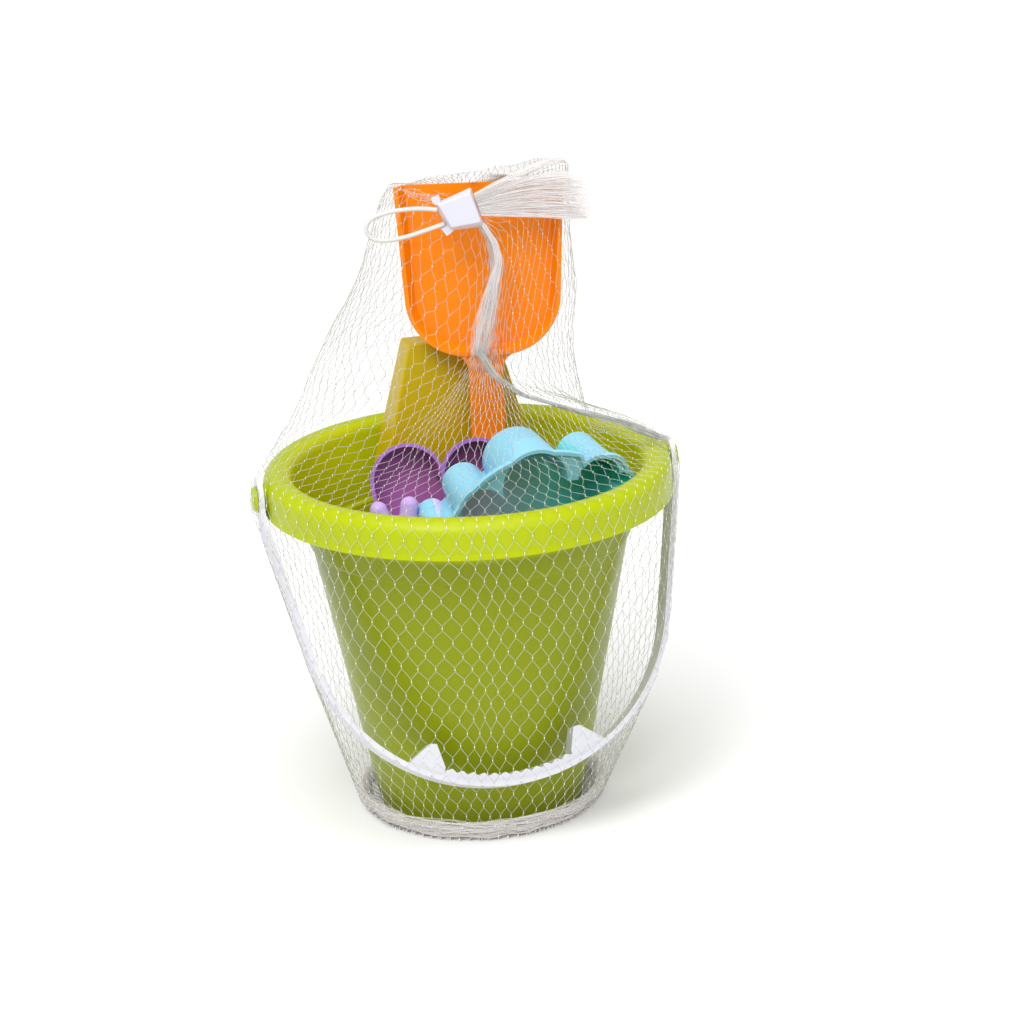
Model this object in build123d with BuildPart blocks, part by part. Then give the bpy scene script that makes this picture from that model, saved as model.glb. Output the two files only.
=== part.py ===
"""Sand bucket sold as a set: bucket with a swinging bail, spade and four moulds in a tied net bag.

Units are millimetres. The origin is on the ground under the middle of the bucket, +Z is up,
the bail's hinge line runs along X, and the bail hangs down on the -Y side.
"""
import os
from math import acos, atan2, cos, degrees, hypot, radians, sin, tan

from build123d import *

os.makedirs("parts", exist_ok=True)

# ---- Bucket -------------------------------------------------------------------------------
net_layer = 0.8  # folded net under the foot
foot_radius = 52.0
wall = 2.2
floor_gap = 4.0  # the floor stands this far above the foot ring's edge
rim_radius = 100.0  # outside of the rolled rim
rim_top = 177.5
roll_radius = 7.5
rim_skirt = 18.0  # from the rim's top down to the rolled skirt's edge
wall_slope = 0.190  # how much the cone's radius grows for each millimetre of height
collar_height = 23.0  # stacking collar under the rim
collar_step = 1.4
mould_edge = 0.9  # rounding of moulded edges

# ---- Bail ---------------------------------------------------------------------------------
pivot_drop = 10.5  # from the rim's top to the hinge line
stud_radius = 4.4
stud_head_radius = 6.4
stud_head = 2.0
boss_radius = 7.0
bail_band = 2.4
bail_width = 17.0
bail_reach = 152.0  # from the hinge line to the outside of the grip
bail_bend = 91.0  # outside radius of the grip's bend
eye_radius = 10.5
running_clearance = 0.08
side_gap = 0.3
grip_half = 36.0
grip_depth = 6.6
grip_waves = 13
wave_depth = 1.3
guard_height = 9.5
guard_length = 17.0

# ---- Toys ---------------------------------------------------------------------------------
toy_gap = 0.3
toys_turn = -12.0  # the toys face this far round from the bail's front
spade_x = 11.0
spade_y = 21.0
spade_lean = 3.0
spade_length = 297.0
blade_width = 84.0
blade_length = 85.0
blade_depth = 9.0
blade_shoulder = 30.0
toy_wall = 2.0
shaft_width = 17.0
shaft_thickness = 8.0
grip_width = 62.0
grip_height = 58.0
grip_bar = 12.0

tower_base = (80.0, 26.0)
tower_top = (46.0, 17.0)
tower_height = 66.0
tower_turn = 15.0

mould_wall = 1.8
draft = 4.0
ice_depth = 34.0
ice_lobes = ((-44.0, 58.0, 9.5), (-28.0, 72.0, 12.5), (-1.5, 81.5, 18.3), (31.0, 80.0, 12.5), (43.0, 76.0, 7.0))
ice_edge_depth = 3.0
ice_ledge = 1.2
heart_depth = 17.0
heart_lobe = 18.5
heart_spread = 17.5
heart_length = 50.0
head_depth = 12.0
head_radius = 14.0
ear_radius = 4.3
ear_length = 17.0
ear_leans = (-20.0, 8.0)

# ---- Net bag ------------------------------------------------------------------------------
net_wall = 1.0
bag_top = 319.0
clip_thickness = 9.0
cord_radius = 1.1
tuft_thickness = 3.0
neck_radius = 2.2

# ---- Places that follow from the sizes ------------------------------------------------------
foot = net_layer
floor_top = foot + floor_gap + wall
hinge_z = rim_top - pivot_drop
skirt_edge = rim_top - rim_skirt
roll_r = rim_radius - roll_radius
roll_z = rim_top - roll_radius
collar_bottom = skirt_edge - collar_height + 2


def cone(z):
    """Outer radius of the tapered wall at a height."""
    return foot_radius + wall_slope * (z - foot)


# ---- Bucket: one injection moulding, revolved ------------------------------------------------
with BuildPart() as bucket_shell:
    with BuildSketch(Plane.XZ):
        with BuildLine():
            slope = atan2(1, wall_slope)
            inner_touch = (roll_r - roll_radius * sin(slope), roll_z + roll_radius * cos(slope))
            collar_in = (cone(collar_bottom) - wall + collar_step, collar_bottom + 1.5)
            Polyline(
                (0, foot + floor_gap),
                (cone(foot + floor_gap) - wall - 2.5, foot + floor_gap),
                (foot_radius - wall, foot),
                (foot_radius, foot),
                (cone(collar_bottom), collar_bottom),
                (cone(collar_bottom) + collar_step, collar_bottom + 1.5),
                (roll_r - roll_radius * sin(slope) + wall, roll_z),
            )
            under = roll_radius - wall
            ThreePointArc(
                (roll_r - roll_radius * sin(slope) + wall, roll_z),
                (roll_r, roll_z + under),
                (roll_r + under, roll_z),
            )
            Polyline(
                (roll_r + under, roll_z),
                (roll_r + under, skirt_edge),
                (rim_radius + 0.5, skirt_edge),
                (rim_radius, skirt_edge + 2.5),
                (rim_radius, roll_z),
            )
            ThreePointArc((rim_radius, roll_z), (roll_r, rim_top), inner_touch)
            Polyline(
                inner_touch,
                collar_in,
                (cone(collar_bottom) - wall, collar_bottom - 0.5),
                (cone(floor_top + 4) - wall, floor_top + 4),
                (cone(floor_top) - wall - 4, floor_top),
                (0, floor_top),
                (0, foot + floor_gap),
            )
        make_face()
    revolve(axis=Axis.Z)
    # studs on the rim's two sides carry the bail's eyes
    for side in (1, -1):
        with BuildSketch(Plane((side * (rim_radius - 2.0), 0, hinge_z), x_dir=(0, 1, 0), z_dir=(side, 0, 0))):
            Circle(boss_radius)
        extrude(amount=2.0 + 1.0)
        with BuildSketch(Plane((side * (rim_radius + 0.9), 0, hinge_z), x_dir=(0, 1, 0), z_dir=(side, 0, 0))):
            Circle(stud_radius)
        extrude(amount=0.1 + 2 * side_gap + bail_band)
        head_x = rim_radius + 1.0 + 2 * side_gap + bail_band
        with BuildSketch(Plane((side * head_x, 0, hinge_z), x_dir=(0, 1, 0), z_dir=(side, 0, 0))):
            Circle(stud_head_radius)
        extrude(amount=stud_head, taper=20)

# ---- Bail: a flat band bent to a U, with an eye at each end and a waved grip -------------------
eye_x = rim_radius + 1.0 + side_gap + bail_band / 2  # middle of the band at the eyes
bend_centre = bail_reach - bail_bend


def band_side(radius, x):
    """Half of the band's outline at one side: eye end, straight arm and where it meets the bend."""
    start = (x, eye_radius + 1)
    reach = hypot(start[0], start[1] - bend_centre)
    turn = atan2(start[1] - bend_centre, start[0]) + acos(radius / reach)
    return start, (radius * cos(turn), bend_centre + radius * sin(turn))


def grip_point(radius, angle):
    """A point on the bail's bend, at an angle from the middle of the grip, in the bail's plane."""
    return (radius * sin(angle), -(bend_centre + radius * cos(angle)))


# The bail first stands straight down, then turns about the hinge line to lean on the bucket.
down = Plane((0, 0, hinge_z), x_dir=(1, 0, 0), z_dir=(0, -1, 0))
with BuildPart() as bail_down:
    outer_start, outer_meet = band_side(bail_bend, eye_x + bail_band / 2)
    inner_start, inner_meet = band_side(bail_bend - bail_band, eye_x - bail_band / 2)
    with BuildSketch(down):
        with BuildLine():
            Polyline((outer_start[0], 0), (outer_start[0], -outer_start[1]), (outer_meet[0], -outer_meet[1]))
            ThreePointArc((outer_meet[0], -outer_meet[1]), (0, -bail_reach), (-outer_meet[0], -outer_meet[1]))
            Polyline(
                (-outer_meet[0], -outer_meet[1]),
                (-outer_start[0], -outer_start[1]),
                (-outer_start[0], 0),
                (-inner_start[0], 0),
                (-inner_start[0], -inner_start[1]),
                (-inner_meet[0], -inner_meet[1]),
            )
            ThreePointArc(
                (-inner_meet[0], -inner_meet[1]), (0, -bail_reach + bail_band), (inner_meet[0], -inner_meet[1])
            )
            Polyline(
                (inner_meet[0], -inner_meet[1]), (inner_start[0], -inner_start[1]), (inner_start[0], 0), (outer_start[0], 0)
            )
        make_face()
    extrude(amount=bail_width / 2, both=True)
    # the grip is thicker, with finger waves along its inside and a hand guard at each end
    grip_angle = grip_half / bail_bend
    with BuildSketch(down):
        with BuildLine():
            inside = bail_bend - grip_depth
            steps = 2 * grip_waves
            waved = [
                grip_point(inside + wave_depth * (i % 2), -grip_angle + 2 * grip_angle * i / steps)
                for i in range(steps + 1)
            ]
            Spline(*waved)
            Line(waved[-1], grip_point(bail_bend - 1, grip_angle))
            ThreePointArc(
                grip_point(bail_bend - 1, grip_angle), grip_point(bail_bend - 1, 0), grip_point(bail_bend - 1, -grip_angle)
            )
            Line(grip_point(bail_bend - 1, -grip_angle), waved[0])
        make_face()
    extrude(amount=bail_width / 2 - 1.5, both=True)
    for side in (1, -1):
        guard_end = grip_angle + guard_length / bail_bend
        with BuildSketch(down):
            with BuildLine():
                Polyline(
                    grip_point(bail_bend - 1, side * (grip_angle - 0.02)),
                    grip_point(bail_bend - grip_depth, side * (grip_angle - 0.02)),
                    grip_point(bail_bend - grip_depth - guard_height, side * (grip_angle + 0.07)),
                    grip_point(bail_bend - grip_depth - guard_height + 1, side * (grip_angle + 0.11)),
                    grip_point(bail_bend - 1, side * guard_end),
                    grip_point(bail_bend - 1, side * (grip_angle - 0.02)),
                )
            make_face()
        extrude(amount=bail_width / 2 - 1.5, both=True)
    for side in (1, -1):
        with BuildSketch(Plane((side * (eye_x - bail_band / 2), 0, hinge_z), x_dir=(0, 1, 0), z_dir=(side, 0, 0))):
            Circle(eye_radius)
        extrude(amount=bail_band)
        with BuildSketch(Plane((side * (eye_x - bail_band), 0, hinge_z), x_dir=(0, 1, 0), z_dir=(side, 0, 0))):
            Circle(stud_radius + running_clearance)
        extrude(amount=2 * bail_band, mode=Mode.SUBTRACT)

# it hangs forward until the grip's band meets the bucket's front wall
lean = 20.0
for _ in range(12):
    back_edge = bail_width / 2
    inside_reach = bail_reach - grip_depth - 0.2
    height = hinge_z - inside_reach * cos(radians(lean)) - back_edge * sin(radians(lean))
    wanted = cone(height) + toy_gap + 0.2
    lean = degrees(atan2(wanted + back_edge * cos(radians(lean)), inside_reach * cos(radians(lean))))
bail_lean = lean
hinge_line = Axis((0, 0, hinge_z), (1, 0, 0))
bail_handle = bail_down.part.rotate(hinge_line, -bail_lean)


def toy_point(x, y, z):
    """A point given to the right of, away from and above the middle of the toys' front."""
    turn = radians(toys_turn)
    return Vector(x * cos(turn) - y * sin(turn), x * sin(turn) + y * cos(turn), z)


def toy_plane(x, y, z, turn=0.0, pitch=0.0):
    """A plane facing the toys' front: local x to the right, local y up, leaning back by pitch."""
    facing, back = radians(toys_turn + turn), radians(pitch)
    front = Vector(sin(facing) * cos(back), -cos(facing) * cos(back), sin(back))
    return Plane(toy_point(x, y, z), x_dir=(cos(facing), sin(facing), 0), z_dir=front)


def seat(piece, supports, direction):
    """Push a piece along a direction until it lies toy_gap from the nearest of its supports."""
    step = direction.normalized()
    for _ in range(12):
        room = min(piece.distance_to(other) for other in supports) - toy_gap
        if room < 0.1:
            break
        piece = piece.moved(Location(step * room))
    return piece


# ---- Spade: dished blade, channel shaft and a closed hand grip, standing on the bucket's floor --
spade_rise = blade_depth * sin(radians(spade_lean))
spade_plane = toy_plane(spade_x, spade_y, floor_top + toy_gap + spade_rise, pitch=spade_lean)
blade_bottom = spade_length - blade_length
blade_draft = 0.4  # how far the dished edge leans out, for each millimetre of depth


def blade_outline(inset, past_edge):
    """The blade's outline inset all round, running on past its straight edge."""
    top = spade_length + past_edge
    half = blade_width / 2 - inset
    low = half - 3.5
    bottom = blade_bottom + inset
    bend = blade_shoulder - inset
    with BuildLine() as outline:
        Line((-half, top), (-low, bottom + bend))
        RadiusArc((-low, bottom + bend), (-low + bend, bottom), -bend)
        Line((-low + bend, bottom), (low - bend, bottom))
        RadiusArc((low - bend, bottom), (low, bottom + bend), -bend)
        Polyline((low, bottom + bend), (half, top), (-half, top))
    make_face(outline.edges())


with BuildPart() as spade:
    with BuildSketch(spade_plane):
        blade_outline(0, 10)
    with BuildSketch(spade_plane.offset(-blade_depth)):
        blade_outline(blade_draft * blade_depth, 10)
    loft(ruled=True)
    dish_depth = blade_depth - toy_wall
    with BuildSketch(spade_plane.offset(0.5)):
        blade_outline(toy_wall - 0.5 * blade_draft, 20)
    with BuildSketch(spade_plane.offset(-dish_depth)):
        blade_outline(toy_wall + dish_depth * blade_draft, 20)
    loft(ruled=True, mode=Mode.SUBTRACT)
    with BuildSketch(spade_plane.offset(5)):
        with Locations((0, spade_length + 20)):
            Rectangle(2 * blade_width, 40)
    extrude(amount=-30, mode=Mode.SUBTRACT)
    # shaft and hand grip lie level with the blade's back
    shaft_front = spade_plane.offset(-blade_depth + shaft_thickness)
    with BuildSketch(shaft_front):
        with Locations((0, (grip_height + blade_bottom) / 2)):
            Rectangle(shaft_width, blade_bottom - grip_height + 8)
        with Locations((0, grip_height / 2)):
            RectangleRounded(grip_width, grip_height, 20)
            RectangleRounded(grip_width - 2 * grip_bar, grip_height - 2 * grip_bar, 10, mode=Mode.SUBTRACT)
        for side in (1, -1):
            with BuildLine():
                Line((side * shaft_width / 2, blade_bottom - 9), (side * shaft_width / 2, blade_bottom + 2))
                Line((side * shaft_width / 2, blade_bottom + 2), (side * (shaft_width / 2 + 11), blade_bottom + 2))
                Spline(
                    (side * (shaft_width / 2 + 11), blade_bottom + 2),
                    (side * shaft_width / 2, blade_bottom - 9),
                    tangents=((-side, -0.15), (0, -1)),
                )
            make_face()
    extrude(amount=-shaft_thickness)
    with BuildSketch(spade_plane.offset(-blade_depth)):
        with Locations((0, (grip_height + blade_bottom) / 2 - 2)):
            Rectangle(shaft_width - 2 * toy_wall, blade_bottom - grip_height - 14)
    extrude(amount=shaft_thickness - toy_wall, mode=Mode.SUBTRACT)

# ---- Tower mould: a hollow four-sided block, open below, wedged in the rim behind the shaft ------
shaft_back = spade_y + blade_depth + (rim_top - 15) * tan(radians(spade_lean))
tower_x = -7.0
tower_reach = 15.6  # from the shaft's back to the middle of the turned tower
with BuildPart() as tower_mould:
    heading = radians(toys_turn + tower_turn)
    middle = toy_point(tower_x, shaft_back + tower_reach, rim_top - 11)
    base_plane = Plane(middle, x_dir=(cos(heading), sin(heading), 0), z_dir=(0, 0, 1))
    with BuildSketch(base_plane):
        Rectangle(*tower_base)
    with BuildSketch(base_plane.offset(tower_height)):
        Rectangle(*tower_top)
    loft()
    fillet(edges(), mould_edge)
    with BuildSketch(base_plane.offset(-0.01)):
        Rectangle(tower_base[0] - 2 * mould_wall, tower_base[1] - 2 * mould_wall)
    with BuildSketch(base_plane.offset(tower_height - mould_wall)):
        Rectangle(tower_top[0] - 2 * mould_wall, tower_top[1] - 2 * mould_wall)
    loft(mode=Mode.SUBTRACT)
tower = seat(tower_mould.part, [bucket_shell.part, spade.part], Vector(0, 0, -1))

# ---- Ice mould: an ice cream's scoops on a cone, open towards the front ------------------------
ice_plane = toy_plane(31, -22, 100, turn=18, pitch=-8)
taper = tan(radians(draft))


def ice_outline(inset):
    """Scoops and cone, inset all round."""
    with BuildLine() as cone_outline:
        centres = [(x, y) for x, y, radius in ice_lobes]
        low_right, low_left = (10 - inset / 2, -6 + inset), (-4 + inset / 2, -6 + inset)
        Polyline(*centres, low_right, low_left, centres[0])
    make_face(cone_outline.edges())
    for x, y, radius in ice_lobes:
        with Locations((x, y)):
            Circle(radius - inset)


def ice_rim():
    """The smooth front edge that the scoops run into: one wide arc, a notch and a small arc."""
    with BuildLine() as edge:
        ThreePointArc((-48, 58), (-20, 92.5), (22, 94))
        Line((22, 94), (25, 86))
        ThreePointArc((25, 86), (35, 92), (46, 83))
        Polyline((46, 83), (46, 74), (12, -6), (-6, -6), (-48, 58))
    make_face(edge.edges())


with BuildPart() as blue_mould:
    with BuildSketch(ice_plane):
        ice_outline(0)
    with BuildSketch(ice_plane.offset(-ice_depth)):
        ice_outline(ice_depth * taper)
    loft(ruled=True)
    with BuildSketch(ice_plane):
        ice_rim()
    extrude(amount=-ice_edge_depth)
    with BuildSketch(ice_plane.offset(0.01)):
        ice_rim()
        offset(amount=-mould_wall, mode=Mode.REPLACE)
    extrude(amount=-ice_ledge, mode=Mode.SUBTRACT)
    cup_depth = ice_depth - mould_wall
    with BuildSketch(ice_plane.offset(0.01)):
        ice_outline(mould_wall)
    with BuildSketch(ice_plane.offset(-cup_depth)):
        ice_outline(mould_wall + cup_depth * taper)
    loft(ruled=True, mode=Mode.SUBTRACT)
blue = seat(blue_mould.part, [bucket_shell.part, spade.part, tower], Vector(0, 0, -1))

# ---- Heart mould: two lobes above a body that narrows downwards, open towards the front ----------
heart_plane = toy_plane(-12.5, 6.5, 165, turn=8, pitch=10)
heart_taper = tan(radians(8))


def heart_outline(inset):
    """Two lobes and a rounded body below them, inset all round."""
    side = heart_spread + heart_lobe - inset
    with BuildLine() as body:
        Line((-side, 0), (side, 0))
        tip, waist = (0, -heart_length + inset), (side * 0.62, -heart_length * 0.62)
        Spline((side, 0), waist, tip, tangents=((0, -1), (-1, -0.2)))
        Spline(tip, (-waist[0], waist[1]), (-side, 0), tangents=((-1, 0.2), (0, 1)))
    make_face(body.edges())
    with Locations((-heart_spread, 0), (heart_spread, 0)):
        Circle(heart_lobe - inset)


with BuildPart() as purple_mould:
    with BuildSketch(heart_plane):
        heart_outline(0)
    with BuildSketch(heart_plane.offset(-heart_depth)):
        heart_outline(heart_depth * heart_taper)
    loft(ruled=True)
    cup_depth = heart_depth - mould_wall
    with BuildSketch(heart_plane.offset(0.01)):
        heart_outline(mould_wall)
    with BuildSketch(heart_plane.offset(-cup_depth)):
        heart_outline(mould_wall + cup_depth * heart_taper)
    loft(ruled=True, mode=Mode.SUBTRACT)
purple = seat(purple_mould.part, [spade.part, tower, blue], toy_point(0.2, 1, -0.2))

# ---- Rabbit mould: a small disc with two blunt ears pointing up, hollow from behind -------------
head_plane = toy_plane(-32, -35, 131, turn=5, pitch=12)
with BuildPart() as lilac_mould:
    with BuildSketch(head_plane):
        Circle(head_radius)
    extrude(amount=-head_depth)
    fillet(edges(), mould_edge)
    with BuildSketch(head_plane.offset(-head_depth)):
        Circle(head_radius - mould_wall)
    extrude(amount=head_depth - mould_wall, mode=Mode.SUBTRACT)
    for lean in ear_leans:
        along = (sin(radians(lean)), cos(radians(lean)))
        root, tip = head_radius - 1, head_radius + ear_length
        start = head_plane.from_local_coords((root * along[0], root * along[1], -head_depth / 2))
        end = head_plane.from_local_coords((tip * along[0], tip * along[1], -head_depth / 2))
        with BuildSketch(Plane(start, z_dir=end - start)):
            Circle(ear_radius)
        extrude(amount=(end - start).length)
        with Locations(end):
            Sphere(ear_radius)
lilac = seat(lilac_mould.part, [bucket_shell.part, purple, blue], toy_point(0, 1, -0.1))

# ---- Net bag ------------------------------------------------------------------------------------
# Below the rim it is stretched over the bail; it rests on the ground around the foot.
bag_foot = 67.0
lean_sin, lean_cos = sin(radians(bail_lean)), cos(radians(bail_lean))
grip_low = hinge_z - bail_reach * lean_cos
grip_front = bail_reach * lean_sin + bail_width / 2 * lean_cos
arm_spread = bail_bend + 6
bag_profile = [
    (bag_foot, foot + 0.3),
    (hypot(grip_half, grip_front) + 2, grip_low + 2),
    (hypot(0.82 * arm_spread, 0.77 * grip_front) + 3, hinge_z - 0.72 * bail_reach * lean_cos),
    (arm_spread + 9.5, hinge_z - 0.42 * bail_reach * lean_cos),
    (eye_x + 7.5, hinge_z - 10),
    (eye_x + 7.5, rim_top - 1),
]
with BuildPart() as net_skirt:
    with BuildSketch(Plane.XZ):
        with BuildLine():
            outside = Polyline(*bag_profile)
            Polyline(outside @ 1, (bag_profile[-1][0] - net_wall, bag_profile[-1][1]))
            Polyline(*[(r - net_wall, z) for r, z in reversed(bag_profile)])
            Line((bag_foot - net_wall, foot + 0.3), (bag_foot, foot + 0.3))
        make_face()
    revolve(axis=Axis.Z)

# Under the foot several folded layers lie flat; the bucket stands on them.
with BuildPart() as net_base:
    with BuildSketch(Plane.XY):
        Circle(bag_foot)
    extrude(amount=net_layer)

# Above the rim it is a hood drawn in round the toys and over the blade.
hood_front = 28.5  # above the toys the hood stands straight up in front of the blade
hood_levels = (
    (rim_top + 0.4, 0.0, 0.0, rim_radius - 0.5, rim_radius - 0.5, 2.0),
    (rim_top + 44.5, -2.0, hood_front + 24.5, 64.0, 24.5, 4.0),
    (bag_top, 11.0, hood_front + 12.5, 49.0, 12.5, 5.0),
)


def hood_section(z, x, y, half_width, half_depth, squareness):
    """A squarish oval across the hood, in the toys' directions."""
    corners = []
    for i in range(32):
        turn = radians(360 * i / 32)
        across, deep = cos(turn), sin(turn)
        span = (abs(across) ** squareness + abs(deep) ** squareness) ** (-1 / squareness)
        corners.append((half_width * span * across, half_depth * span * deep))
    with BuildSketch(Plane(toy_point(x, y, z), x_dir=toy_point(1, 0, 0), z_dir=(0, 0, 1))) as section:
        Polygon(*corners, align=None)
    return section.sketch.faces()[0]


with BuildPart() as net_cap:
    loft([hood_section(*level) for level in hood_levels], ruled=True)
    inner_levels = [[z, x, y, a - net_wall, b - net_wall, p] for z, x, y, a, b, p in hood_levels]
    inner_levels[0][0] -= 0.1
    inner_levels[-1][0] -= net_wall
    loft([hood_section(*level) for level in inner_levels], ruled=True, mode=Mode.SUBTRACT)

# The clip is a wedge that grips the gathered net in front of the blade.
clip_x, clip_y, clip_z = 2.0, hood_front - side_gap, 295.0
clip_back = toy_plane(clip_x, clip_y, clip_z)
with BuildPart() as net_clip:
    with BuildSketch(clip_back):
        Polygon((-12.5, 2.5), (5.5, 10.0), (11.8, -10.0), (-6.8, -11.2), align=None)
    with BuildSketch(clip_back.offset(clip_thickness)):
        Polygon((-10.6, 3.8), (5.1, 9.0), (9.8, -5.6), (-4.4, -7.8), align=None)
    loft(ruled=True)
    fillet(edges(), 0.8)
    with BuildSketch(clip_back.offset(1.0)):
        Polygon((-14.0, 5.6), (-10.0, 7.2), (-9.0, 3.6), (-12.0, 2.8), align=None)
        Polygon((-9.5, -9.0), (-5.5, -7.0), (-3.5, -10.0), (-7.0, -12.6), align=None)
    extrude(amount=4.0)

# The carrying loop runs out of the clip, round and back into it.
loop_route = [
    (-11.2, 0.4), (-18.0, 1.4), (-28.0, 1.2), (-38.5, -0.6), (-44.3, -3.3), (-46.6, -8.4),
    (-43.4, -12.9), (-37.2, -14.1), (-26.5, -12.4), (-16.0, -9.2), (-8.0, -6.6),
]
loop_plane = toy_plane(clip_x, clip_y - clip_thickness / 2, clip_z)


def bend_radii(points):
    """For each corner of a route, 0.45 of its shorter run over the tangent of half its turn."""
    radii = []
    for before, here, after in zip(points, points[1:], points[2:]):
        one = Vector(*here) - Vector(*before)
        two = Vector(*after) - Vector(*here)
        radii.append(0.45 * min(one.length, two.length) / tan(radians(one.get_angle(two) / 2)))
    return radii


with BuildPart() as cord_loop:
    with BuildLine(loop_plane) as loop_path:
        FilletPolyline(*loop_route, radius=bend_radii(loop_route))
    loop_wire = loop_path.wires()[0]
    with BuildSketch(Plane(loop_wire @ 0, z_dir=loop_wire % 0)):
        Circle(cord_radius)
    sweep(path=loop_wire)

# The gathered strand of net runs down from the clip to the top of the shaft.
neck_y = hood_front - side_gap - neck_radius
with BuildPart() as net_neck:
    neck_low = toy_point(5.5, neck_y, 222)
    neck_high = toy_point(3.5, neck_y, clip_z - 12.2)
    with BuildSketch(Plane(neck_low, z_dir=neck_high - neck_low)):
        Circle(neck_radius)
    extrude(amount=(neck_high - neck_low).length)

# The cut ends of the net fan out past the clip.
with BuildPart() as net_tuft:
    with BuildSketch(toy_plane(8.7, hood_front - 0.9, 0)):
        Polygon((3.8, 291), (0, 303), (33, 321.5), (60.5, 306), (60, 284), (39.5, 289.5), align=None)
    extrude(amount=tuft_thickness)

bucket_shell.part.label = "bucket_shell"
export_step(bucket_shell.part, "parts/bucket_shell.step")
bail_handle.label = "bail_handle"
export_step(bail_handle, "parts/bail_handle.step")
spade.part.label = "spade"
export_step(spade.part, "parts/spade.step")
tower.label = "tower_mould"
export_step(tower, "parts/tower_mould.step")
blue.label = "blue_mould"
export_step(blue, "parts/blue_mould.step")
purple.label = "purple_mould"
export_step(purple, "parts/purple_mould.step")
lilac.label = "lilac_mould"
export_step(lilac, "parts/lilac_mould.step")
net_skirt.part.label = "net_skirt"
export_step(net_skirt.part, "parts/net_skirt.step")
net_base.part.label = "net_base"
export_step(net_base.part, "parts/net_base.step")
net_cap.part.label = "net_cap"
export_step(net_cap.part, "parts/net_cap.step")
net_clip.part.label = "net_clip"
export_step(net_clip.part, "parts/net_clip.step")
cord_loop.part.label = "cord_loop"
export_step(cord_loop.part, "parts/cord_loop.step")
net_neck.part.label = "net_neck"
export_step(net_neck.part, "parts/net_neck.step")
net_tuft.part.label = "net_tuft"
export_step(net_tuft.part, "parts/net_tuft.step")
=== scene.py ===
import math
import random

import bmesh
import bpy
from mathutils import Matrix, Vector, noise
from mathutils.bvhtree import BVHTree


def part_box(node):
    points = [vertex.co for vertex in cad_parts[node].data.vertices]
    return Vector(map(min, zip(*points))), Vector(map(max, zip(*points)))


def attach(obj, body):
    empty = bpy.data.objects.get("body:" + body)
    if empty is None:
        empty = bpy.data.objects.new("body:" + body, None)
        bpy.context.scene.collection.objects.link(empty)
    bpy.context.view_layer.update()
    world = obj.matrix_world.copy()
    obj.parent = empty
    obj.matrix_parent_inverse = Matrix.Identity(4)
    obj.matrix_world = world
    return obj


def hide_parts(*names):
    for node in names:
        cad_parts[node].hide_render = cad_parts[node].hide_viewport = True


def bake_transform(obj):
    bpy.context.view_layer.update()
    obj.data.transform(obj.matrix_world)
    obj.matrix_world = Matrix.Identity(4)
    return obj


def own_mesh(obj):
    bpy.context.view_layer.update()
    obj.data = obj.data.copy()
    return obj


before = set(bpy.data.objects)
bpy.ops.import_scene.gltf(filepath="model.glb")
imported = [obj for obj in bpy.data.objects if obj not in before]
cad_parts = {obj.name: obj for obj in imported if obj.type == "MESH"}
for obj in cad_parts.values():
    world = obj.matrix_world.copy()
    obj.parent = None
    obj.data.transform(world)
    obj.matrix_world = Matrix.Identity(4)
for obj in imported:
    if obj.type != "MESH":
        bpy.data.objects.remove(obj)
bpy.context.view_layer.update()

# ---- Camera -------------------------------------------------------------------------------------
# It looks slightly down at the set from in front, a little to the left of the bail's middle.
camera_turn, camera_rise, camera_roll = math.radians(-12.17), math.radians(18.71), math.radians(-2.30)
camera_target = Vector((0.02057, -0.00437, 0.14795))
back = Vector((
    math.sin(camera_turn) * math.cos(camera_rise),
    -math.cos(camera_turn) * math.cos(camera_rise),
    math.sin(camera_rise),
))
level_right = Vector((math.cos(camera_turn), math.sin(camera_turn), 0))
level_up = back.cross(level_right)
right = math.cos(camera_roll) * level_right + math.sin(camera_roll) * level_up
up = -math.sin(camera_roll) * level_right + math.cos(camera_roll) * level_up
camera_data = bpy.data.cameras.new("camera")
camera_data.lens, camera_data.sensor_width = 86.5, 36.0
camera = bpy.data.objects.new("camera", camera_data)
camera.matrix_world = Matrix.Translation(camera_target + 1.2126 * back) @ Matrix((right, up, back)).transposed().to_4x4()
bpy.context.collection.objects.link(camera)
bpy.context.scene.camera = camera

# ---- Carrying loop ------------------------------------------------------------------------------
# A short length of round cord with a soft woven cover. Both its ends are caught in the clip.
toys_turn = math.radians(12)


def toys(x, y, z):
    """Millimetres right of, behind and above the middle, square to the toys, as a place in metres."""
    return Vector((
        (x * math.cos(toys_turn) + y * math.sin(toys_turn)) / 1000,
        (-x * math.sin(toys_turn) + y * math.cos(toys_turn)) / 1000,
        z / 1000,
    ))


def link(name, data):
    piece = bpy.data.objects.new(name, data)
    bpy.context.collection.objects.link(piece)
    return piece


def material(name, colour, roughness):
    """A new node material; returns it, its nodes, its links and its shader."""
    made = bpy.data.materials.new(name)
    made.use_nodes = True
    shader = made.node_tree.nodes["Principled BSDF"]
    shader.inputs["Base Color"].default_value = (*colour, 1)
    shader.inputs["Roughness"].default_value = roughness
    return made, made.node_tree.nodes, made.node_tree.links, shader


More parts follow.
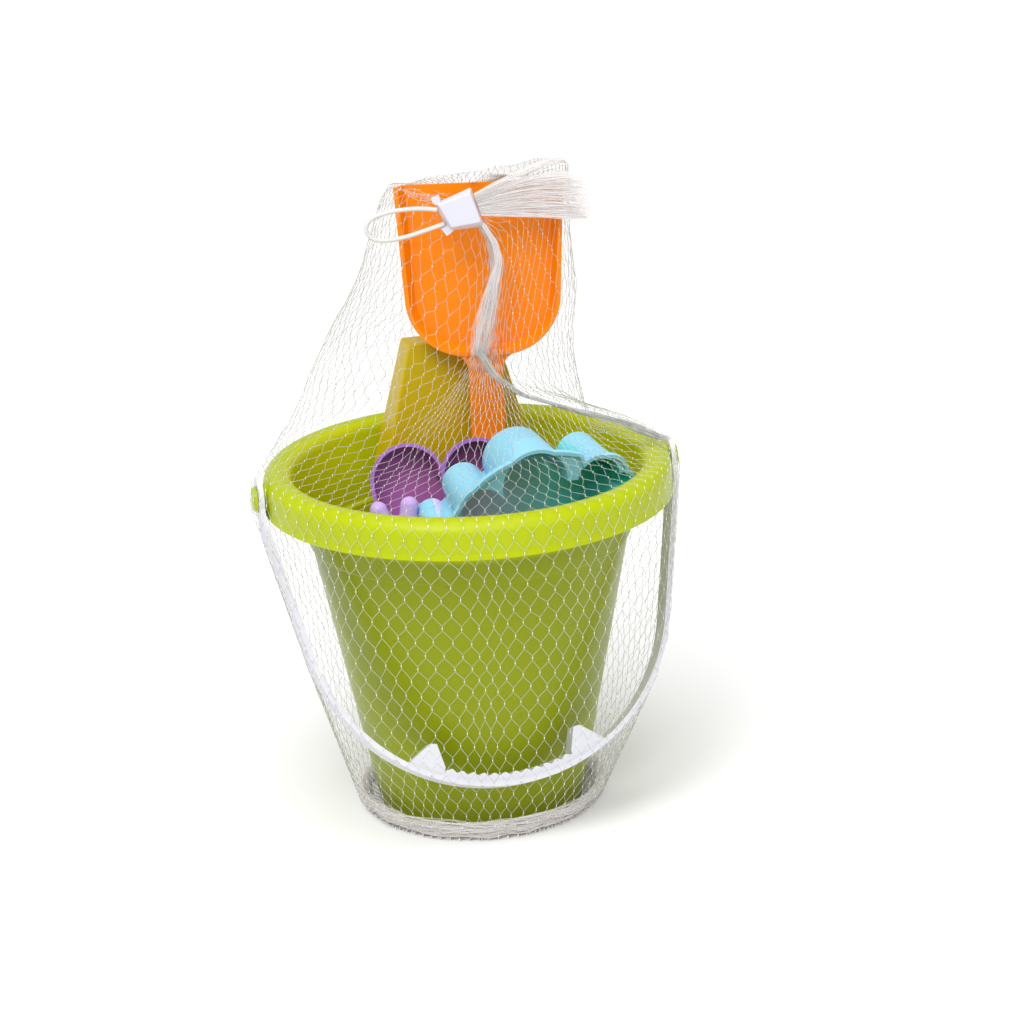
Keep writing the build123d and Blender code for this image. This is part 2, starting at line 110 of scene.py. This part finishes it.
clip_x, clip_y, clip_z = 2.0, 28.2, 295.0
loop_y = clip_y - 4.5
loop_route = (
    (-11.2, 0.4), (-18.0, 1.4), (-28.0, 1.2), (-38.5, -0.6), (-44.3, -3.3), (-46.6, -8.4),
    (-43.4, -12.9), (-37.2, -14.1), (-26.5, -12.4), (-16.0, -9.2), (-8.0, -6.6),
)
cord_curve = bpy.data.curves.new("carry_cord", "CURVE")
cord_curve.dimensions = "3D"
cord_curve.bevel_depth = 0.0011
cord_curve.bevel_resolution = 3
cord_curve.resolution_u = 12
cord_curve.use_fill_caps = True
cord_line = cord_curve.splines.new("NURBS")
cord_line.points.add(len(loop_route) - 1)
for point, (x, z) in zip(cord_line.points, loop_route):
    point.co = (*toys(clip_x + x, loop_y, clip_z + z), 1)
cord_line.order_u = 3
cord_line.use_endpoint_u = True
carry_cord = link("carry_cord", cord_curve)

cord_cover, nodes, links, shader = material("cord cover", (0.70, 0.67, 0.65), 0.6)
shader.inputs["Sheen Weight"].default_value = 0.25
place = nodes.new("ShaderNodeTexCoord")
braid = nodes.new("ShaderNodeTexWave")
braid.bands_direction = "DIAGONAL"
braid.inputs["Scale"].default_value = 900
links.new(place.outputs["Object"], braid.inputs["Vector"])
braid_bump = nodes.new("ShaderNodeBump")
braid_bump.inputs["Strength"].default_value = 0.35
braid_bump.inputs["Distance"].default_value = 0.0002
links.new(braid.outputs["Fac"], braid_bump.inputs["Height"])
links.new(braid_bump.outputs["Normal"], shader.inputs["Normal"])
cord_curve.materials.append(cord_cover)
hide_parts("cord_loop")
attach(carry_cord, "spade")

# ---- Bucket -------------------------------------------------------------------------------------
# One thin-walled injection moulding in lime green plastic, glossy on its rolled rim. Painted shade
# darkens the cone below the rim, and painted light brightens the inside wall. The studs for the bail are moulded on.


def moulded(name, colour, roughness=0.32, glow=0.12, gloss=0.2, cup=(), cup_of=None, below=None):
    """Moulded plastic: faint colour drift, an uneven polish and the mould's fine grain.

    Below is a height and the share of the colour kept under it: painted shade, darker under that
    height. Faces that look into the cup of the node cup_of take the cup colours, from left to right: painted light and
    shade."""
    made, nodes, links, shader = material(name, colour, roughness)
    shader.inputs["Specular IOR Level"].default_value = gloss
    shader.inputs["Subsurface Weight"].default_value = glow
    shader.inputs["Subsurface Radius"].default_value = (0.004, 0.004, 0.002)
    place = nodes.new("ShaderNodeTexCoord")
    cloud = nodes.new("ShaderNodeTexNoise")
    cloud.inputs["Scale"].default_value = 14
    cloud.inputs["Detail"].default_value = 3
    links.new(place.outputs["Object"], cloud.inputs["Vector"])
    drift = nodes.new("ShaderNodeMix")
    drift.data_type = "RGBA"
    drift.inputs["A"].default_value = (*(0.9 * c for c in colour), 1)
    drift.inputs["B"].default_value = (*(min(1, 1.07 * c) for c in colour), 1)
    links.new(cloud.outputs["Fac"], drift.inputs["Factor"])
    finish = drift.outputs["Result"]
    axes = nodes.new("ShaderNodeSeparateXYZ")
    links.new(place.outputs["Object"], axes.inputs["Vector"])
    # painted shade: under the height in below the colour is darkened to the given share
    if below:
        step = nodes.new("ShaderNodeMapRange")
        step.inputs["From Min"].default_value, step.inputs["From Max"].default_value = below[0] - 0.004, below[0]
        links.new(axes.outputs["Z"], step.inputs["Value"])
        painted_cone_shade = nodes.new("ShaderNodeMix")
        painted_cone_shade.data_type = "RGBA"
        painted_cone_shade.inputs["A"].default_value = (*(below[1] * c for c in colour), 1)
        links.new(step.outputs["Result"], painted_cone_shade.inputs["Factor"])
        links.new(finish, painted_cone_shade.inputs["B"])
        finish = painted_cone_shade.outputs["Result"]
    # painted light and shade: faces that look into the cup take the listed colours, left to right across the cup
    if cup:
        low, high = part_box(cup_of)
        outward = nodes.new("ShaderNodeVectorMath")
        outward.operation = "SUBTRACT"
        outward.inputs[1].default_value = ((low[0] + high[0]) / 2, (low[1] + high[1]) / 2, high[2] - 0.042)
        links.new(place.outputs["Object"], outward.inputs[0])
        facing = nodes.new("ShaderNodeVectorMath")
        facing.operation = "DOT_PRODUCT"
        links.new(outward.outputs["Vector"], facing.inputs[0])
        links.new(place.outputs["Normal"], facing.inputs[1])
        side = nodes.new("ShaderNodeMath")
        side.operation = "LESS_THAN"
        side.inputs[1].default_value = 0
        links.new(facing.outputs["Value"], side.inputs[0])
        span = nodes.new("ShaderNodeMapRange")
        span.inputs["From Min"].default_value, span.inputs["From Max"].default_value = low[0], high[0]
        links.new(axes.outputs["X"], span.inputs["Value"])
        painted_cup_shading = nodes.new("ShaderNodeValToRGB")
        for number, shade in enumerate(cup):
            stop = number / max(1, len(cup) - 1)
            if 0 < number < len(cup) - 1:
                painted_cup_shading.color_ramp.elements.new(stop)
            painted_cup_shading.color_ramp.elements[min(number, len(painted_cup_shading.color_ramp.elements) - 1)].color = (*shade, 1)
        links.new(span.outputs["Result"], painted_cup_shading.inputs["Fac"])
        cup_with_painted_shading = nodes.new("ShaderNodeMix")
        cup_with_painted_shading.data_type = "RGBA"
        links.new(side.outputs["Value"], cup_with_painted_shading.inputs["Factor"])
        links.new(finish, cup_with_painted_shading.inputs["A"])
        links.new(painted_cup_shading.outputs["Color"], cup_with_painted_shading.inputs["B"])
        finish = cup_with_painted_shading.outputs["Result"]
    links.new(finish, shader.inputs["Base Color"])
    scuff = nodes.new("ShaderNodeTexNoise")
    scuff.inputs["Scale"].default_value = 60
    scuff.inputs["Detail"].default_value = 5
    links.new(place.outputs["Object"], scuff.inputs["Vector"])
    polish = nodes.new("ShaderNodeMapRange")
    polish.inputs["To Min"].default_value = roughness - 0.08
    polish.inputs["To Max"].default_value = roughness + 0.12
    links.new(scuff.outputs["Fac"], polish.inputs["Value"])
    links.new(polish.outputs["Result"], shader.inputs["Roughness"])
    grain = nodes.new("ShaderNodeTexNoise")
    grain.inputs["Scale"].default_value = 900
    links.new(place.outputs["Object"], grain.inputs["Vector"])
    bump = nodes.new("ShaderNodeBump")
    bump.inputs["Strength"].default_value = 0.08
    bump.inputs["Distance"].default_value = 0.0003
    links.new(grain.outputs["Fac"], bump.inputs["Height"])
    links.new(bump.outputs["Normal"], shader.inputs["Normal"])
    return made


def finish_node(name, made):
    """Gives a carried-over node its material."""
    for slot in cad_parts[name].material_slots:
        slot.material = made


# painted shade: the cone below 0.1545 m keeps 60 % of its colour; the inside wall takes brighter painted light,
# lightest on the left
finish_node("bucket_shell", moulded(
    "lime plastic", (0.42, 0.50, 0.001), 0.28, 0.06, cup=((0.50, 0.54, 0.001), (0.44, 0.50, 0.001)),
    cup_of="bucket_shell", below=(0.1545, 0.60)))

# ---- Bail ---------------------------------------------------------------------------------------
# A flat white plastic band with a waved grip and two hand guards, snapped over the studs.
finish_node("bail_handle", moulded("white plastic", (0.70, 0.70, 0.76), 0.38, 0.15))

# ---- Spade --------------------------------------------------------------------------------------
# An orange moulding with a dished blade, stood in the bucket on its hand grip.
finish_node("spade", moulded("orange plastic", (0.95, 0.25, 0.001), 0.30, 0.1))

# ---- Sand moulds --------------------------------------------------------------------------------
# Four thin hollow mouldings: a plain block, an ice cream, a heart and a rabbit's head.
finish_node("tower_mould", moulded("yellow plastic", (0.58, 0.42, 0.001), 0.33, 0.1))
# painted light and shade inside the cavity, tinted by light from the lime bucket: lilac-blue on the left to teal and
# emerald on the right
finish_node("blue_mould", moulded(
    "blue plastic", (0.27, 0.62, 0.80), 0.34, 0.15,
    cup=((0.74, 0.62, 1.0), (0.62, 0.66, 0.98), (0.20, 0.70, 0.74), (0.002, 0.62, 0.46)), cup_of="blue_mould"))
# painted shade inside the cavity: purple on the left to dark maroon on the right
finish_node("purple_mould", moulded(
    "purple plastic", (0.42, 0.19, 0.60), 0.34, 0.1,
    cup=((0.50, 0.16, 0.52), (0.46, 0.13, 0.30)), cup_of="purple_mould"))
finish_node("lilac_mould", moulded("lilac plastic", (0.58, 0.40, 0.82), 0.36, 0.15))

# ---- Clip ---------------------------------------------------------------------------------------
# A small wedge of pale plastic, pushed together over the twisted end of the net.
finish_node("net_clip", moulded("pale plastic", (0.70, 0.69, 0.78), 0.42, 0.15))

# ---- Net below the rim --------------------------------------------------------------------------
# Nylon net with long diamond cells and melted knots, drawn tight over the rim, the studs and
# the bail. Its threads are half clear.
net_columns = 80
cell_neck = 0.17  # share of a cell's length that its threads run side by side
random.seed(7)


def thread_tree():
    """Turns a mesh's edges into round threads, with a bead where the attribute knot is set."""
    tree = bpy.data.node_groups.new("net threads", "GeometryNodeTree")
    sockets = tree.interface
    sockets.new_socket("Geometry", in_out="INPUT", socket_type="NodeSocketGeometry")
    sockets.new_socket("Thread radius", in_out="INPUT", socket_type="NodeSocketFloat")
    sockets.new_socket("Knot radius", in_out="INPUT", socket_type="NodeSocketFloat")
    sockets.new_socket("Material", in_out="INPUT", socket_type="NodeSocketMaterial")
    sockets.new_socket("Knot material", in_out="INPUT", socket_type="NodeSocketMaterial")
    sockets.new_socket("Geometry", in_out="OUTPUT", socket_type="NodeSocketGeometry")
    given, result = tree.nodes.new("NodeGroupInput"), tree.nodes.new("NodeGroupOutput")
    lines = tree.nodes.new("GeometryNodeMeshToCurve")
    round_section = tree.nodes.new("GeometryNodeCurvePrimitiveCircle")
    round_section.inputs["Resolution"].default_value = 4
    tubes = tree.nodes.new("GeometryNodeCurveToMesh")
    tubes.inputs["Fill Caps"].default_value = True
    knotted = tree.nodes.new("GeometryNodeInputNamedAttribute")
    knotted.data_type = "BOOLEAN"
    knotted.inputs["Name"].default_value = "knot"
    spots = tree.nodes.new("GeometryNodeInstanceOnPoints")
    bead = tree.nodes.new("GeometryNodeMeshIcoSphere")
    bead.inputs["Subdivisions"].default_value = 1
    spots.inputs["Scale"].default_value = (0.8, 0.8, 3.0)
    joined = tree.nodes.new("GeometryNodeJoinGeometry")
    realized = tree.nodes.new("GeometryNodeRealizeInstances")
    painted = tree.nodes.new("GeometryNodeSetMaterial")
    knots_painted = tree.nodes.new("GeometryNodeSetMaterial")
    join = tree.links.new
    join(given.outputs["Geometry"], lines.inputs["Mesh"])
    join(given.outputs["Thread radius"], round_section.inputs["Radius"])
    join(lines.outputs["Curve"], tubes.inputs["Curve"])
    join(round_section.outputs["Curve"], tubes.inputs["Profile Curve"])
    join(given.outputs["Geometry"], spots.inputs["Points"])
    join(knotted.outputs["Attribute"], spots.inputs["Selection"])
    join(bead.outputs["Mesh"], spots.inputs["Instance"])
    join(given.outputs["Knot radius"], bead.inputs["Radius"])
    join(tubes.outputs["Mesh"], joined.inputs["Geometry"])
    join(spots.outputs["Instances"], joined.inputs["Geometry"])
    join(joined.outputs["Geometry"], realized.inputs["Geometry"])
    join(realized.outputs["Geometry"], painted.inputs["Geometry"])
    join(given.outputs["Material"], painted.inputs["Material"])
    join(painted.outputs["Geometry"], knots_painted.inputs["Geometry"])
    join(knotted.outputs["Attribute"], knots_painted.inputs["Selection"])
    join(given.outputs["Knot material"], knots_painted.inputs["Material"])
    join(knots_painted.outputs["Geometry"], result.inputs["Geometry"])
    return tree


threads = thread_tree()


def spun(name, points, edges, knots, radius, bead, made):
    """A piece made of threads along the edges, with a bead on each knot."""
    lines = bpy.data.meshes.new(name)
    lines.from_pydata(points, edges, [])
    marks = lines.attributes.new("knot", "BOOLEAN", "POINT")
    marks.data.foreach_set("value", knots)
    guide = link(name + "_lines", lines)
    modifier = guide.modifiers.new("threads", "NODES")
    modifier.node_group = threads
    values = {"Thread radius": radius, "Knot radius": bead, "Material": made, "Knot material": melted_nylon}
    for item in threads.interface.items_tree:
        if item.in_out == "INPUT" and item.name in values:
            modifier[item.identifier] = values[item.name]
    depsgraph = bpy.context.evaluated_depsgraph_get()
    mesh = bpy.data.meshes.new_from_object(guide.evaluated_get(depsgraph))
    bpy.data.objects.remove(guide)
    for polygon in mesh.polygons:
        polygon.use_smooth = True
    return link(name, mesh)


def diamonds(columns):
    """Threads of a net whose columns are given as equal lists of points.

    Each thread leaves its knots along the columns, so the cells are long and six-sided."""
    count, rows = len(columns), len(columns[0])
    points = []
    for row in range(rows):
        for i in range(count):
            here = columns[i][row]
            if row % 2:
                here = (here + columns[(i + 1) % count][row]) / 2
            points.append(here)
    knots, edges = [True] * len(points), []

    def ties(i, row, step):
        """The two knots that a knot is tied to in the next row down or up."""
        other = (i - 1) % count if row % 2 == 0 else (i + 1) % count
        return (row + step) * count + i, (row + step) * count + other

    for row in range(rows - 1):
        for i in range(count):
            a = row * count + i
            below = ties(i, row, 1)
            for b in below:
                above = ties(b - (row + 1) * count, row + 1, -1)
                leave = points[a].lerp((points[below[0]] + points[below[1]]) / 2, cell_neck)
                arrive = points[b].lerp((points[above[0]] + points[above[1]]) / 2, cell_neck)
                points += [leave, arrive]
                knots += [False, False]
                last = len(points) - 1
                edges += [(a, last - 1), (last - 1, last), (last, b)]
    return points, edges, knots


nylon, nodes, links, shader = material("net nylon", (0.93, 0.93, 0.90), 0.32)
shader.inputs["Alpha"].default_value = 0.6
shader.inputs["Specular IOR Level"].default_value = 0.6
place = nodes.new("ShaderNodeTexCoord")
twist = nodes.new("ShaderNodeTexNoise")
twist.inputs["Scale"].default_value = 220
links.new(place.outputs["Object"], twist.inputs["Vector"])
strand_tone = nodes.new("ShaderNodeMix")
strand_tone.data_type = "RGBA"
strand_tone.inputs["A"].default_value = (0.48, 0.48, 0.46, 1)
strand_tone.inputs["B"].default_value = (0.84, 0.84, 0.80, 1)
links.new(twist.outputs["Fac"], strand_tone.inputs["Factor"])
links.new(strand_tone.outputs["Result"], shader.inputs["Base Color"])

melted_nylon, nodes, links, shader = material("melted knots", (0.95, 0.95, 0.88), 0.3)
shader.inputs["Alpha"].default_value = 0.85

# the drawn net is the tightest skin round the rim, the studs, the bail and the hem
hull = bmesh.new()
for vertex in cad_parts["bail_handle"].data.vertices:
    hull.verts.new(vertex.co)
for radius, z in ((0.1002, 0.1765), (0.1003, 0.160), (0.062, 0.0012)):
    for i in range(72):
        angle = math.radians(5 * i)
        hull.verts.new((radius * math.cos(angle), radius * math.sin(angle), z))
for side in (1, -1):
    for z in (0.162, 0.172):
        for y in (-0.006, 0.006):
            hull.verts.new((side * 0.1062, y, z))
skin = bmesh.ops.convex_hull(hull, input=hull.verts)
bmesh.ops.delete(hull, geom=list(set(skin["geom_interior"]) | set(skin["geom_unused"])), context="VERTS")
hull_tree = BVHTree.FromBMesh(hull)


def stretched(angle, z, stand_off=0.0007):
    """The drawn net's place at an angle and a height."""
    outward = Vector((math.cos(angle), math.sin(angle), 0))
    hit = hull_tree.ray_cast(Vector((0, 0, z)), outward)[0]
    reach = hit.length if hit is None else math.hypot(hit.x, hit.y)
    return outward * (reach + stand_off) + Vector((0, 0, z))


skirt_rows = 24
skirt_columns = []
for i in range(net_columns):
    column = []
    for row in range(skirt_rows + 1):
        angle = 2 * math.pi * i / net_columns
        z = 0.1762 - (0.1762 - 0.0016) * row / skirt_rows
        drift = noise.noise(Vector((3 * math.cos(angle), 3 * math.sin(angle), 14 * z)))
        angle += 0.06 * drift + 0.014 * math.sin(9 * angle)
        z += 0.0030 * noise.noise(Vector((6 * math.cos(angle), 6 * math.sin(angle), 30 * z + 5)))
        column.append(stretched(angle, min(0.1764, max(0.0015, z))))
    skirt_columns.append(column)
net_below = spun("net_below_rim", *diamonds(skirt_columns), 0.00012, 0.00030, nylon)
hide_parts("net_skirt")
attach(net_below, "bucket")
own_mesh(net_below)

# ---- Net under the foot -------------------------------------------------------------------------
# The net's slack lies in flattened rolls round the foot, and its folds pass under the bucket.
glowing_nylon, nodes, links, shader = material("bunched nylon", (0.95, 0.86, 0.84), 0.4)
shader.inputs["Alpha"].default_value = 0.3
# painted light: a faint even emission stands in for light passing through the bunched threads
shader.inputs["Emission Color"].default_value = (1.0, 0.96, 0.94, 1)
shader.inputs["Emission Strength"].default_value = 0.1
place = nodes.new("ShaderNodeTexCoord")
bunch_noise = nodes.new("ShaderNodeTexNoise")
bunch_noise.inputs["Scale"].default_value = 160
links.new(place.outputs["Object"], bunch_noise.inputs["Vector"])
bunch_tone = nodes.new("ShaderNodeMix")
bunch_tone.data_type = "RGBA"
bunch_tone.inputs["A"].default_value = (0.80, 0.76, 0.75, 1)
bunch_tone.inputs["B"].default_value = (1.0, 0.97, 0.96, 1)
links.new(bunch_noise.outputs["Fac"], bunch_tone.inputs["Factor"])
links.new(bunch_tone.outputs["Result"], shader.inputs["Base Color"])

hem_points, hem_edges, hem_knots = [], [], []


def strand(points, made_points, made_edges, made_knots, closed=False):
    """Adds one thread through the points to the lists of a piece."""
    start = len(made_points)
    made_points.extend(points)
    made_knots.extend([False] * len(points))
    made_edges.extend((start + i, start + i + 1) for i in range(len(points) - 1))
    if closed:
        made_edges.append((start + len(points) - 1, start))


for roll in range(64):
    ring = []
    high = random.uniform(0.0, 1.0)
    for i in range(72):
        angle = math.radians(5 * i)
        front = 0.5 - 0.5 * math.sin(angle)
        wander = noise.noise(Vector((2.2 * math.cos(angle), 2.2 * math.sin(angle), 3.7 * roll)))
        z = 0.0007 + (0.0045 + 0.0065 * front) * min(1, max(0, high + 0.35 * wander))
        outer = stretched(angle, max(0.0015, z))
        pull = 0.0070 * (0.5 + 0.7 * noise.noise(Vector((3 * math.cos(angle), 3 * math.sin(angle), roll))))
        ring.append(outer - Vector((outer.x, outer.y, 0)).normalized() * pull)
    strand(ring, hem_points, hem_edges, hem_knots, closed=True)
net_hem = spun("net_hem", hem_points, hem_edges, hem_knots, 0.00026, 0.0003, glowing_nylon)
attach(net_hem, "bucket")

under_columns = []
for i in range(net_columns):
    angle = 2 * math.pi * i / net_columns
    under_columns.append([
        Vector((r * math.cos(angle + 0.2 * k), r * math.sin(angle + 0.2 * k), 0.0004))
        for k, r in enumerate((0.0610, 0.056, 0.050, 0.043, 0.036, 0.028, 0.019, 0.010))
    ])
net_under = spun("net_under_foot", *diamonds(under_columns), 0.00030, 0.0004, nylon)
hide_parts("net_base")
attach(net_under, "bucket")

# ---- Net above the rim --------------------------------------------------------------------------
# The same net runs on over the toys. In front it is gathered to the top of the shaft, at the
# sides and behind it stands round the blade, and all of it ends in the clip.
gather = (9.0, 25.4, 222.0)
hood_rows = 24


def hood_route(angle):
    """The places a column passes on its way from the rim to the clip, square to the toys."""
    from_front = abs(math.degrees(math.atan2(math.cos(angle), -math.sin(angle))))
    side = min(1.0, max(0.0, (from_front - 38) / 62))
    side = side * side * (3 - 2 * side)
    c, s = math.cos(angle), math.sin(angle)
    start = Vector((99.0 * c, 99.0 * s, 178.3))
    wide = 1 - side
    round_blade = (
        Vector((-6 + (66 if c < 0 else 62) * c, 50 + 27 * s, 222)),
        Vector((4 + 54 * c, 44 + 20 * s, 262)),
        Vector((10 + 46 * c, 42 + 14 * s, 300)),
        Vector((11 + 44 * c, 41 + 7 * s, 311 + 5.5 * c)),
        Vector((4.5 + 4 * c, 24 + 2 * s, 299)),
    )
    in_front = (
        Vector((gather[0] + 13 * c, gather[1] - 4, gather[2] - 9)),
        Vector((gather[0] + 4 + 7 * c, gather[1], gather[2] + 18)),
        Vector((18 + 4 * c, 25.0, 264)),
        Vector((17 + 3 * c, 24.8, 278)),
        Vector((11.5 + 2.5 * c, 24.8, 288)),
    )
    stops = [start]
    for near, far in zip(in_front, round_blade):
        stops.append(near * wide + far * side)
    middle = (stops[0] + stops[1]) / 2
    middle.z -= 3 + 6 * wide
    if c > 0:
        middle.x -= 16 * c * side
        middle.z -= 11 * c * side
    stops.insert(1, middle)
    return stops, s < 0.12


def along(stops, rows, stagger=0.0):
    """Points spaced evenly along a line through the stops, moved on by a share of a row."""
    lengths = [0.0]
    for a, b in zip(stops, stops[1:]):
        lengths.append(lengths[-1] + (b - a).length)
    places = []
    for row in range(rows + 1):
        shifted = row + stagger * min(1.0, row / 8) * min(1.0, (rows - row) / 3)
        want = lengths[-1] * shifted / rows
        k = next((k for k in range(len(stops) - 1) if lengths[k + 1] >= want - 1e-9), len(stops) - 2)
        share = (want - lengths[k]) / max(1e-6, lengths[k + 1] - lengths[k])
        places.append(stops[k].lerp(stops[k + 1], share))
    return places


def clear_of_blade(p, in_front):
    """Keeps a point of the hood in front of or behind the blade."""
    if p.z > 200 and -34 < p.x < 56:
        mouth = 21 + (p.z - 7) * math.tan(math.radians(3))
        if in_front:
            p.y = min(p.y, mouth - 2)
        elif p.z < 306:
            p.y = max(p.y, mouth + 11)
    return p


hood_columns = []
for i in range(net_columns):
    angle = 2 * math.pi * i / net_columns + toys_turn
    angle += 0.05 * noise.noise(Vector((2 * math.cos(angle), 2 * math.sin(angle), 9)))
    stops, in_front = hood_route(angle)
    column = []
    for row, p in enumerate(along(stops, hood_rows, random.uniform(-0.45, 0.45) if in_front else 0.0)):
        loose = min(1.0, row / 3) * min(1.0, (hood_rows - row) / 4)
        shift = noise.noise_vector(Vector((0.035 * p.x, 0.035 * p.y, 0.03 * p.z)))
        fine = noise.noise_vector(Vector((0.12 * p.x, 0.12 * p.y, 0.1 * p.z)))
        p = clear_of_blade(p + (2.6 * shift + 1.0 * fine) * loose, in_front)
        column.append(toys(*p))
    hood_columns.append(column)
hood_points, hood_edges, hood_knots = diamonds(hood_columns)
gathered = toys(*gather)
for number, point in enumerate(hood_points):
    if point.z > gathered.z - 0.012 and (point.xy - gathered.xy).length < 0.016:
        hood_knots[number] = False
net_above = spun("net_above_rim", hood_points, hood_edges, hood_knots, 0.00012, 0.00028, nylon)
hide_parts("net_cap")
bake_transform(net_above)

# ---- Gathered strand ----------------------------------------------------------------------------
# In front of the shaft the net is bunched to a loose rope that climbs to the clip, and a
# slack fold of it falls to the right, along the rim to the stud.

def bundle(name, stops, widths, count, steps, radius, made):
    """A loose rope: many threads that wander within a width along one line."""
    points, edges, knots = [], [], []
    for number in range(count):
        side, depth = random.uniform(-1, 1), random.uniform(-1, 1)
        if side * side + depth * depth > 1:
            side, depth = side * 0.6, depth * 0.6
        line = []
        for k, p in enumerate(along([Vector(stop) for stop in stops], steps)):
            place = k / steps * (len(widths) - 1)
            low = min(int(place), len(widths) - 2)
            width = widths[low] + (widths[low + 1] - widths[low]) * (place - low)
            wander = noise.noise_vector(Vector((0.045 * p.x + 7.1 * number, 0.045 * p.y, 0.045 * p.z)))
            line.append(toys(
                p.x + width * (side + 0.5 * wander.x), p.y + min(width, 2.4) * 0.5 * (depth + 0.4 * wander.y),
                p.z + width * 0.35 * wander.z,
            ))
        strand(line, points, edges, knots)
    return spun(name, points, edges, knots, radius, radius, made)


rope = bundle(
    "net_strand", ((12, 24.6, 288), (18, 24.5, 278), (19.5, 24.6, 268), (15, 24.8, 252), (11, 25, 236), (8, 25.2, 222)),
    (1.0, 1.6, 2.4, 3.8, 4.6, 4.2), 80, 22, 0.00018, glowing_nylon,
)
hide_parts("net_neck")
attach(rope, "spade")

fold = bundle(
    "net_fold", ((8, 24.5, 224), (15, 20, 212), (28, 16, 203), (52, 12, 196), (78, 8, 189), (97, 4, 181)),
    (2.0, 2.0, 2.4, 3.6, 4.2, 3.6), 44, 24, 0.00016, nylon,
)
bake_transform(fold)

# ---- Cut ends of the net ------------------------------------------------------------------------
# Past the clip the bunched net was cut off. It fans out to a ragged edge beside the blade.
tuft_points, tuft_edges, tuft_knots = [], [], []
for number in range(340):
    across = random.uniform(0, 1)
    depth = random.uniform(-1, 1)
    root = Vector((12.0 - 3.0 * across, 25.6 + 1.6 * depth, 291.5 + 10.5 * across))
    waist = Vector((44.0 - 4.0 * across, 25.9 + 3.0 * depth, 290.5 + 27.0 * across))
    tip = Vector((68.0 - 3.0 * across, 26.6 + 3.4 * depth, 286.0 + 25.0 * across))
    if across > 0.9:
        tip = Vector((56.0, tip.y, 319.0))
    reach = random.uniform(0.82, 1.0)
    line = []
    for k in range(13):
        share = reach * k / 12
        p = root * (1 - share) ** 2 + waist * 2 * share * (1 - share) + tip * share * share
        wander = noise.noise_vector(Vector((0.06 * p.x + 3.3 * number, 0.06 * p.y, 0.06 * p.z)))
        p += wander * (0.5 + 2.4 * share)
        line.append(toys(p.x, max(23.0, p.y), p.z))
    strand(line, tuft_points, tuft_edges, tuft_knots)
tuft = spun("net_ends", tuft_points, tuft_edges, tuft_knots, 0.00016, 0.0002, glowing_nylon)
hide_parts("net_tuft")
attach(tuft, "spade")

# ---- Floor and light ----------------------------------------------------------------------------
# A plain white table under a soft ceiling, one lamp and a long strip lamp for the gloss.
floor_mesh = bpy.data.meshes.new("floor")
floor_mesh.from_pydata([(-9, -9, -0.0002), (9, -9, -0.0002), (9, 9, -0.0002), (-9, 9, -0.0002)], [], [(0, 1, 2, 3)])
floor = link("floor", floor_mesh)
floor_paint, nodes, links, shader = material("white table", (0.93, 0.93, 0.93), 0.7)
floor_mesh.materials.append(floor_paint)


def lamp(name, place, aim, size, watts):
    light = bpy.data.lights.new(name, "AREA")
    light.shape, light.size, light.energy = "DISK", size, watts
    holder = link(name, light)
    holder.matrix_world = Matrix.Translation(place) @ (place - aim).to_track_quat("Z", "Y").to_matrix().to_4x4()


middle = Vector((0, 0, 0.15))
lamp("key lamp", Vector((-0.6, -0.8, 1.3)), middle, 0.6, 6)
strip_data = bpy.data.lights.new("strip lamp", "AREA")
strip_data.shape, strip_data.size, strip_data.size_y, strip_data.energy = "RECTANGLE", 1.3, 0.08, 2.5
strip = link("strip lamp", strip_data)
strip_place = Vector((0.1, -1.1, 0.95))
strip.matrix_world = Matrix.Translation(strip_place) @ (strip_place - middle).to_track_quat("Z", "Y").to_matrix().to_4x4()
top_light = bpy.data.lights.new("ceiling", "SUN")
top_light.energy, top_light.angle = 2.0, math.radians(60)
ceiling = link("ceiling", top_light)
ceiling.matrix_world = Vector((-0.15, -0.3, 1)).to_track_quat("Z", "Y").to_matrix().to_4x4()
world = bpy.data.worlds.new("studio")
world.use_nodes = True
sky = world.node_tree.nodes["Background"]
sky.inputs["Color"].default_value = (1, 1, 1, 1)
seen = world.node_tree.nodes.new("ShaderNodeLightPath")
sky_strength = world.node_tree.nodes.new("ShaderNodeMapRange")
sky_strength.inputs["To Min"].default_value = 0.55
sky_strength.inputs["To Max"].default_value = 1.05
world.node_tree.links.new(seen.outputs["Is Camera Ray"], sky_strength.inputs["Value"])
world.node_tree.links.new(sky_strength.outputs["Result"], sky.inputs["Strength"])
bpy.context.scene.world = world
bpy.context.scene.view_settings.view_transform = "Standard"
